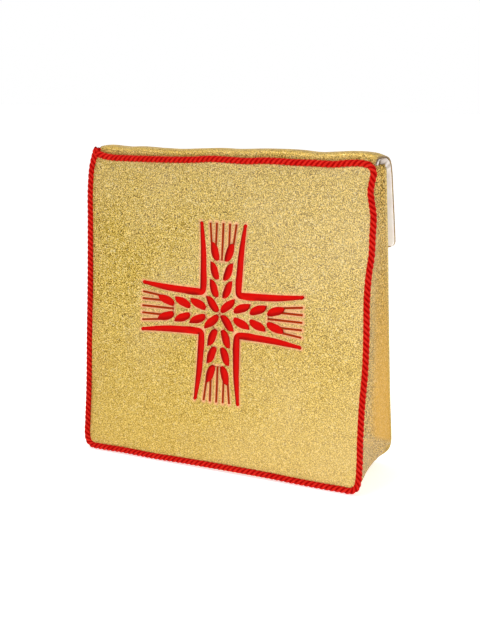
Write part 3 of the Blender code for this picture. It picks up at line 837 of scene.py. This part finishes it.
def edge_rope(material):
    """Three strands of ribbed yarn twisted to the left, sewn all round the front."""
    route = [CORD_START, *TOP_EDGE, *RIGHT_EDGE, *FOOT_EDGE, *LEFT_EDGE, CORD_END]
    line = line_through(route, CORD_TURNS * CORD_STEPS_A_TURN + 1)
    centres = on_front(line[:, 0], line[:, 1])
    ahead = unit(np.gradient(centres, axis=0))
    out = on_front(0.0, 0.0, 1.0) - on_front(0.0, 0.0)
    side = np.cross(ahead, out)
    turns = np.arange(len(centres)) / CORD_STEPS_A_TURN
    gone = lengths(centres)
    from_end = np.minimum(gone, gone[-1] - gone)[:, None]
    swell = 1 + CORD_END_SWELL * (1 - ease(0.0, CORD_END_LENGTH, from_end))
    k = np.arange(STRAND_SIDES)[None, :]
    points, faces, uvs, tones = [], [], [], []
    for strand in range(STRANDS):
        angle = 2 * math.pi * (strand / STRANDS - turns)[:, None]
        towards = np.cos(angle) * out + np.sin(angle) * side
        middles = centres + (CORD_CREST - STRAND_RADIUS) * swell * towards
        run = unit(np.gradient(middles, axis=0))
        lift = unit(towards - np.sum(towards * run, 1, keepdims=True) * run)
        beside = np.cross(run, lift)
        round_it = 2 * math.pi * (k / STRAND_SIDES + YARN_TURNS_A_TURN * turns[:, None])
        radius = (STRAND_RADIUS - YARN_DEPTH * (k % 2)) * swell
        ring = middles[:, None] + (radius * np.cos(round_it))[..., None] * lift[:, None]
        ring = ring + (radius * np.sin(round_it))[..., None] * beside[:, None]
        # Painted shade in the grooves and painted highlight on the crests, by distance from the cord's
        # line
        from_line = np.linalg.norm(ring - centres[:, None], axis=-1) / swell
        tones.append((ease(*CORD_TONE, from_line) - YARN_TONE * (k % 2)).ravel())
        first = sum(len(p) for p in points)
        points.append(ring.reshape(-1, 3))
        faces += [face[::-1] for face in tube_faces(len(turns), STRAND_SIDES, first)]
        along = np.broadcast_to(lengths(middles)[:, None], (len(turns), STRAND_SIDES))
        around = np.abs(k - STRAND_SIDES / 2) * 2 / STRAND_SIDES * math.pi * STRAND_RADIUS
        uvs.append(np.stack([np.broadcast_to(around, along.shape), along], -1).reshape(-1, 2))
    points, uvs, tones = (np.concatenate(parts) for parts in (points, uvs, tones))
    piece("edge_rope", points, faces, uvs, tones, material, "red_cord", "edge_cord")


# Gusset and back


def foot_columns(count):
    """The rounded foot's columns, front_x, front_z, back_x and back_z, in this many rows."""
    steps = np.linspace(0.0, len(FOOT_ROWS) - 1, count)
    return np.maximum([smooth(list(enumerate(column)), steps) for column in zip(*FOOT_ROWS)], 0.0)


def gusset_half(edge, sign):
    """The front and back edges of half the gusset, from the mouth to the base's middle."""
    front_x, front_z, back_x, back_z = foot_columns(GUSSET_FOOT_ROWS)
    top_z = MOUTH_Z + GUSSET_RISE
    front_side = np.linspace(top_z, front_z[0], GUSSET_SIDE_ROWS, endpoint=False)
    back_side = np.linspace(top_z, back_z[0], GUSSET_SIDE_ROWS, endpoint=False)
    up = (front_side - CORD_AXIS_Z) / math.cos(FRONT_LEAN)
    share = np.linspace(1.0, 0.0, GUSSET_BASE_ROWS + 1)[1:]
    side = smooth(sorted((v, u) for u, v in edge), up)
    fx = np.concatenate([side, sign * front_x, sign * front_x[-1] * share])
    fz = np.concatenate([front_side, front_z, 0 * share])
    bx = sign * np.concatenate([np.full(GUSSET_SIDE_ROWS, back_x[0]), back_x, back_x[-1] * share])
    bz = np.concatenate([back_side, back_z, 0 * share])
    behind_cord = (CORD_CREST + CORD_GAP) / math.cos(FRONT_LEAN)
    front_y = (fz - CORD_AXIS_Z) * math.tan(FRONT_LEAN) + behind_cord
    back_y = smooth(BACK_LINE, bz) - BACK_THICK - SEAM_GAP
    return np.stack([fx, front_y, fz], 1), np.stack([bx, back_y, bz], 1)


def gusset_cloth(material):
    """The strip that runs down the left side, under the pouch and up the right side."""
    left_front, left_back = gusset_half(LEFT_EDGE, -1)
    right_front, right_back = gusset_half(RIGHT_EDGE, 1)
    near = np.concatenate([left_front, right_front[-2::-1]])[:, None]
    far = np.concatenate([left_back, right_back[-2::-1]])[:, None]
    share = np.linspace(0.0, 1.0, GUSSET_DEPTH_STEPS + 1)
    grid = near + (far - near) * share[None, :, None]
    height = grid[..., 2]
    above = height - CREASE_FRONT_Z - (CREASE_BACK_Z - CREASE_FRONT_Z) * share
    bow = smooth(SIDE_BOW, height) * np.sin(math.pi * share) ** 2
    for place, width, deep, reach in GUSSET_FOLDS:
        fade = np.clip(1 - (MOUTH_Z - height) / reach, 0.0, 1.0) ** FOLD_FADE
        bow = bow + deep * hump(share, place, width) * fade
    bow = bow - CREASE_RIDGE * hump(above, 0.0, CREASE_WIDTH)
    bow = bow + CREASE_TUCK * ease(0.0, TUCK_RISE, -above) * (1 - ease(*TUCK_FADE, -above))
    bow = bow + FRONT_TUCK * hump(share, 0.0, FRONT_TUCK_SHARE) * ease(*FRONT_TUCK_RISE, height)
    grid[..., 0] -= np.sign(grid[..., 0]) * bow
    calm = ease(*CALM_ABOVE, above) * (1 - ease(*CALM_FADE, height)) * ease(*CALM_SHARE, share)
    # A pale patch by the crease on the right, a painted reflection, takes a tone below nothing
    sheen_patch = hump(share, SHEEN_PATCH_SHARE, SHEEN_PATCH_LENGTH_SHARE) * hump(height, SHEEN_PATCH_Z, SHEEN_PATCH_HEIGHT)
    calm = calm * (1 - sheen_patch) - sheen_patch * (grid[..., 0] > 0)
    made = cloth("gusset_cloth", placed(grid), GUSSET_THICK, material, "gold_lame", "gusset", tone=calm)


def back_cloth(material):
    """The back, as wide at each height as the gusset's back edge, with a slight swell."""
    back_x, back_z = foot_columns(BACK_FOOT_ROWS)[2:]
    raised = back_z > 2 * BACK_FOOT_Z
    back_x = np.append(back_x[raised], back_x[-1])
    back_z = np.append(back_z[raised], BACK_FOOT_Z)
    height = np.linspace(MOUTH_Z, back_z[0], BACK_SIDE_ROWS, endpoint=False)
    height = np.concatenate([height, back_z])[:, None]
    half = np.concatenate([np.full(BACK_SIDE_ROWS, back_x[0]), back_x])[:, None]
    share = np.linspace(-1.0, 1.0, BACK_COLUMNS + 1)
    z = height + 0 * share
    swell = BACK_SWELL * (1 - share**2) * np.sin(math.pi * z / MOUTH_Z)
    ripple = BACK_RIPPLE * np.sin(share * 9 + z * 40) * np.sin(z * 31)
    grid = np.stack([share * half, smooth(BACK_LINE, z) + swell + ripple, z], -1)
    made = cloth("back_cloth", placed(grid), BACK_THICK, material, "gold_lame", "back_panel")


# Flap and lining


def flap_points(across, along, narrower=FLAP_NARROWER):
    """Points on the flap's outer face, by place across and share of the way to its hem."""
    across, along = np.broadcast_arrays(np.asarray(across, float), along)
    line = np.array(FLAP_LINE)
    gone = lengths(line[:, :2])
    place = along * gone[-1]
    y, z, share = (smooth(list(zip(gone, column)), place) for column in line.T)
    past_corner = np.maximum(FLAP_CORNER - (gone[-1] - place), 0.0)
    rounded = FLAP_CORNER - np.sqrt(FLAP_CORNER**2 - past_corner**2)
    narrowed = narrower * np.maximum(1 - along / FLAP_NARROW_SHARE, 0.0) ** 2
    x = across * (1 - (rounded + narrowed) / FLAP_HALF_WIDTH)
    z = z + share * smooth(FLAP_CROWN, x)
    wave = np.sin(2 * math.pi * FLAP_WAVES * x / FLAP_HALF_WIDTH)
    return np.stack([x, y + (1 - share) * along * FLAP_WAVE * wave, z], -1)


def flap_normals(across, along):
    """The way out from the flap, from its slope a little to each side."""
    aside, ahead = 0.0005, 0.02
    low, high = np.maximum(along - ahead, 0.0), np.minimum(along + ahead, 1.0)
    down_it = flap_points(across, high) - flap_points(across, low)
    across_it = flap_points(across + aside, along) - flap_points(across - aside, along)
    return unit(np.cross(across_it, down_it))


def flap_cloth(material):
    """The flap over the mouth and down the back, its tone high along both side edges."""
    across = np.linspace(-FLAP_HALF_WIDTH, FLAP_HALF_WIDTH, FLAP_COLUMNS + 1)
    along = np.linspace(0.0, 1.0, FLAP_ROWS + 1)[:, None]
    outer = placed(flap_points(across, along))
    tone = 1 - ease(0.0, FLAP_EDGE_WIDTH, FLAP_HALF_WIDTH - np.abs(across))
    made = cloth("flap_cloth", outer, FLAP_THICK, material, "gold_lame", "flap", tone=tone)


def lining_cloth(material):
    """The lining inside the flap, its columns closer together towards both sides."""
    half = FLAP_HALF_WIDTH - LINING_MARGIN
    across = np.linspace(-1.0, 1.0, FLAP_COLUMNS + 1)
    across = half * (across + np.sin(math.pi / 2 * across)) / 2
    along = np.linspace(*LINING_ENDS, FLAP_ROWS + 1)[:, None]
    out = flap_normals(across, along)
    end = ease(LINING_LOOSE_FROM, LINING_LOOSE_FROM + LINING_LOOSE_RISE, across)
    loose = end * (1 - ease(LINING_LOOSE_TO, half, across))
    crown = np.maximum(np.sin(math.pi * np.minimum(along / LINING_CROWN_SHARE, 1.0)), 0.0) ** 0.5
    folds = np.sin(across * 900 + along * 31) * np.sin(along * 58 + across * 240)
    bulge = LINING_CRUMPLE * (1 + folds) * crown
    for place, width, deep in LINING_BULGES:
        uneven = 1 + LINING_UNEVEN * np.sin(across * 620 + place * 40)
        bulge = bulge + deep * hump(along, place, width) * uneven
    inside = flap_points(across, along, LINING_NARROWER) - (FLAP_THICK + LINING_GAP) * out
    inside = placed(inside - (bulge * loose)[..., None] * out)
    hollow = np.maximum(ease(0.0, LINING_FOLD_HOLLOW, folds), hump(along, *LINING_HOLLOW))
    shade = end * crown * (LINING_SHADE + LINING_HOLLOW_SHADE * hollow)
    made = cloth(
        "lining_cloth", inside, LINING_THICK, material, "white_lining", "flap_lining", tone=shade
    )


# Embroidery


def turned(points, quarter):
    """Points turned by quarter turns, because all four arms are alike."""
    angle = quarter * math.pi / 2
    c, s = round(math.cos(angle)), round(math.sin(angle))
    return np.asarray(points, float) @ np.array([[c, s], [-s, c]])


def satin(first_side, second_side, height):
    """Threads laid side by side across a shape, over a low rounded rise.

    Gives points across, up and out from the cross's middle, a map and a tone. One thread's crest
    lies in every second row."""
    rows = len(first_side)
    crest = (np.arange(rows) % 2)[:, None]
    span = second_side - first_side
    width = np.linalg.norm(span, axis=1)[:, None]
    bite = unit(span) * STITCH_BITE * (crest * 2 - 1)
    flat = (first_side - bite)[:, None] + (span + 2 * bite)[:, None] * STITCH_SHARES[..., None]
    dome = (1 - np.abs(2 * STITCH_SHARES - 1) ** DOME_SHOULDER) ** DOME_ROUND
    rise = height * ease(0.0, FULL_RISE_WIDTH, width) ** 0.5 * dome
    rise = rise + STITCH_RIDGE * (crest * 2 - 1) * dome - PUCKER_DEPTH
    down = np.arange(rows)[:, None] * STITCH_PITCH / 2
    uv = np.stack(np.broadcast_arrays(STITCH_SHARES * width, down), -1)
    tone = ease(0.0, FULL_TONE_WIDTH, width) ** 0.5 - STITCH_TONE * (1 - crest) + 0 * STITCH_SHARES
    return np.concatenate([flat, rise[..., None]], -1), uv, tone


def stitched(name, shapes, material, *nodes):
    """One piece of satin shapes: each two sides, a height, a quarter turn and a shift of tone."""
    points, faces, uvs, tones = [], [], [], []
    first = 0
    for first_side, second_side, height, quarter, shift in shapes:
        grid, uv, tone = satin(turned(first_side, quarter), turned(second_side, quarter), height)
        rows, columns = grid.shape[:2]
        # Painted shade on the flanks that face left and down
        span = (unit(grid[:, -1, :2] - grid[:, 0, :2]) @ np.array(FLANK_WAY))[:, None]
        share = np.where(span > 0, STITCH_SHARES, 1 - STITCH_SHARES)
        tone = tone + shift - FLANK_PAINTED_SHADE * np.abs(span) * ease(*FLANK_SHARE, share)
        tones.append(tone.ravel())
        flat = grid.reshape(-1, 3)
        points.append(on_front(flat[:, 0] + CROSS_ACROSS, flat[:, 1] + CROSS_UP, flat[:, 2]))
        uvs.append(uv.reshape(-1, 2))
        shape_faces = tube_faces(rows, columns, first)
        mid = rows // 2
        way = np.cross(grid[mid, -1] - grid[mid, 0], grid[mid + 1, 0] - grid[mid - 1, 0])[2]
        faces += shape_faces if way > 0 else [face[::-1] for face in shape_faces]
        first += rows * columns
    points, uvs, tones = (np.concatenate(parts) for parts in (points, uvs, tones))
    piece(name, points, faces, uvs, tones, material, "red_thread", *nodes)


def stitch_rows(length):
    """An odd number of rows, two to a stitch, for a shape of this length."""
    return 2 * max(int(length / STITCH_PITCH), 3) + 1


def run_between(start, end):
    """A run's start, its way, its length, and the unit step to its left."""
    start = np.array(start)
    run = end - start
    size = np.linalg.norm(run)
    return start, run, size, np.array([-run[1], run[0]]) / size


def grain_sides(root, tip, lean):
    """A grain's two sides, matched so that its stitches slant."""
    root, run, size, aside = run_between(root, tip)
    rows = stitch_rows(size * (1 + 2 * GRAIN_SLANT))
    share = np.linspace(-GRAIN_SLANT, 1 + GRAIN_SLANT, rows)
    sides = []
    for sign in (1, -1):
        at = np.clip(share + sign * lean * GRAIN_SLANT, 0.0, 1.0)
        half = GRAIN_WIDTH / 2 * smooth(GRAIN_OUTER_SIDE if sign == lean else GRAIN_AXIS_SIDE, at)
        sides.append(root + at[:, None] * run + sign * half[:, None] * aside)
    return sides


def awn_sides(start, end):
    """A straight awn's two sides, matched."""
    start, run, size, aside = run_between(start, end)
    middle = start + np.linspace(0.0, 1.0, stitch_rows(size))[:, None] * run
    return [middle + aside * AWN_WIDTH / 2, middle - aside * AWN_WIDTH / 2]


def bracket_sides():
    """A bracket's ear side and outer side from tip to tip round the elbow, matched."""
    middle = BRACKET_INNER + BRACKET_ELBOW
    turn = np.linspace(1.5 * math.pi, math.pi, ELBOW_POINTS)
    elbow = middle + BRACKET_ELBOW * np.stack([np.cos(turn), np.sin(turn)], 1)
    ear_arm = np.array(BRACKET_EAR_SIDE[::-1])
    outer_arm = np.array(BRACKET_OUTER_SIDE)
    corner = np.full((ELBOW_POINTS, 2), BRACKET_OUTER)
    inner = np.concatenate([ear_arm, elbow, ear_arm[::-1, ::-1]])
    outer = np.concatenate([outer_arm, corner, outer_arm[::-1, ::-1]])
    gone = lengths((inner + outer) / 2)
    at = np.linspace(0.0, gone[-1], stitch_rows(gone[-1]))
    return [
        np.stack([smooth(list(zip(gone, column)), at) for column in side.T], 1)
        for side in (inner, outer)
    ]


def wheat_embroidery(material):
    """Four ears of seven grains and five awns, one grain of each at the cross's middle."""
    grains, awns = arm_stitches()
    shapes = []
    for quarter in range(4):
        shapes += [(*grain_sides(*grain), GRAIN_HEIGHT, quarter, 0.0) for grain in grains]
        shapes += [(*awn_sides(*awn), AWN_HEIGHT, quarter, AWN_TONE) for awn in awns]
    stitched("wheat_embroidery", shapes, material, "wheat_cross")


def bracket_embroidery(material):
    """The four corner bars, one piece each."""
    for quarter in range(4):
        shapes = [(*bracket_sides(), BRACKET_HEIGHT, quarter, 0.0)]
        stitched(f"bracket_embroidery_{quarter + 1}", shapes, material, f"bracket_{quarter + 1}")


def joining_stitches(material):
    """The single threads from grain to grain, thin tubes that lift a little half way."""
    along, off = EAR_LINK
    arm = [((along, off), (along, -off)), *(link[:2] for link in mirrored(LINKS))]
    runs = [turned(run, quarter) for quarter in range(4) for run in arm]
    for sign in (-1, 1):
        runs.append(MIDDLE_LINK * np.array([(-1, -sign), (1, sign)]))
    share = np.linspace(0.0, 1.0, LINK_STEPS)
    angle = 2 * math.pi * np.arange(LINK_SIDES)[None, :] / LINK_SIDES
    lift = on_front(0.0, 0.0, 1.0) - on_front(0.0, 0.0)
    out = LINK_LIFT * np.sin(math.pi * share) - PUCKER_DEPTH / 2
    points, faces, uvs = [], [], []
    for i, (start, end) in enumerate(runs):
        flat = start + share[:, None] * (end - start)
        line = on_front(flat[:, 0] + CROSS_ACROSS, flat[:, 1] + CROSS_UP, out)
        beside = np.cross(unit(np.gradient(line, axis=0)), lift)
        round_it = np.cos(angle)[..., None] * lift + np.sin(angle)[..., None] * beside[:, None]
        points.append((line[:, None] + LINK_RADIUS * round_it).reshape(-1, 3))
        uv = np.stack(np.broadcast_arrays(angle * LINK_RADIUS, lengths(line)[:, None]), -1)
        uvs.append(uv.reshape(-1, 2))
        tube = tube_faces(LINK_STEPS, LINK_SIDES, i * LINK_STEPS * LINK_SIDES)
        faces += [face[::-1] for face in tube]
    points, uvs = np.concatenate(points), np.concatenate(uvs)
    piece("joining_stitches", points, faces, uvs, AWN_TONE, material, "red_thread")


# Camera, lights and floor


def camera():
    """The camera, by its turn and tilt about the foot of the front."""
    right = Vector((math.cos(CAMERA_TURN), math.sin(CAMERA_TURN), 0.0))
    back = Vector((
        math.sin(CAMERA_TURN) * math.cos(CAMERA_TILT),
        -math.cos(CAMERA_TURN) * math.cos(CAMERA_TILT),
        math.sin(CAMERA_TILT),
    ))
    up = back.cross(right)
    data = bpy.data.cameras.new("camera")
    data.sensor_width = 36.0
    data.lens = CAMERA_LENS
    data.clip_start, data.clip_end = 0.01, 50.0
    made = add_object("camera", data)
    turn = Matrix((right, up, back)).transposed()
    place = turn @ Vector(CAMERA_PLACE) + Vector((-MIDDLE_X, -MIDDLE_Y, CORD_AXIS_Z))
    made.matrix_world = Matrix.Translation(place) @ turn.to_4x4()
    bpy.context.scene.camera = made


def area_light(name, place, aim, size, power, shade):
    """A round soft lamp that shines from its place towards its aim."""
    data = bpy.data.lights.new(name, "AREA")
    data.shape = "DISK"
    data.size = size
    data.energy = power
    data.color = shade
    made = add_object(name, data)
    made.location = place
    made.rotation_euler = (Vector(place) - Vector(aim)).to_track_quat("Z", "Y").to_euler()


def sky():
    """The world's light: white up to the horizon and a little above it, and greyer overhead."""
    world = bpy.data.worlds.new("studio")
    bpy.context.scene.world = world
    world.use_nodes = True
    tree = world.node_tree
    generated = node(tree, "TexCoord").outputs["Generated"]
    height = node(tree, "SeparateXYZ", {0: generated}).outputs["Z"]
    shade = ramp(tree, height, SKY_PLACES, [WHITE, WHITE, SKY_SHADE, SKY_SHADE])
    tree.links.new(shade, tree.nodes["Background"].inputs["Color"])


def white_floor():
    """A white floor that throws light back up, and is no part of the burse."""
    half = FLOOR_SIZE / 2
    mesh = bpy.data.meshes.new("floor")
    corners = [(-half, -half, 0.0), (half, -half, 0.0), (half, half, 0.0), (-half, half, 0.0)]
    mesh.from_pydata(corners, [], [(0, 1, 2, 3)])
    material, _, shader, *_ = new_material("floor_white")
    shader.inputs["Base Color"].default_value = FLOOR_SHADE
    shader.inputs["Roughness"].default_value = 0.6
    shader.inputs["Emission Color"].default_value = WHITE
    shader.inputs["Emission Strength"].default_value = FLOOR_GLOW
    mesh.materials.append(material)
    floor = add_object("floor", mesh)


gold = lame("gold_lame", GOLD, 0.80, 1.0, 0.55, 1450.0)
flap_gold = lame("flap_gold_lame", FLAP_GOLD, 0.80, 0.3, 0.25, 1450.0)
side_gold = lame("side_gold_lame", SIDE_GOLD, 0.68, 0.0, 0.20, 1050.0)
red_cord = thread("red_cord", CORD_RED, 9000.0, 500.0, 0.40)
red_thread = thread("red_thread", STITCH_RED, 500.0, 6000.0, 0.36)
white = lining_white("white_lining", LINING_WHITE)

front_cloth(gold)
gusset_cloth(side_gold)
back_cloth(gold)
flap_cloth(flap_gold)
lining_cloth(white)
edge_rope(red_cord)
wheat_embroidery(red_thread)
bracket_embroidery(red_thread)
joining_stitches(red_thread)

camera()
bpy.context.scene.view_settings.view_transform = "Standard"
sky()
for light in LIGHTS:
    area_light(*light)
white_floor()
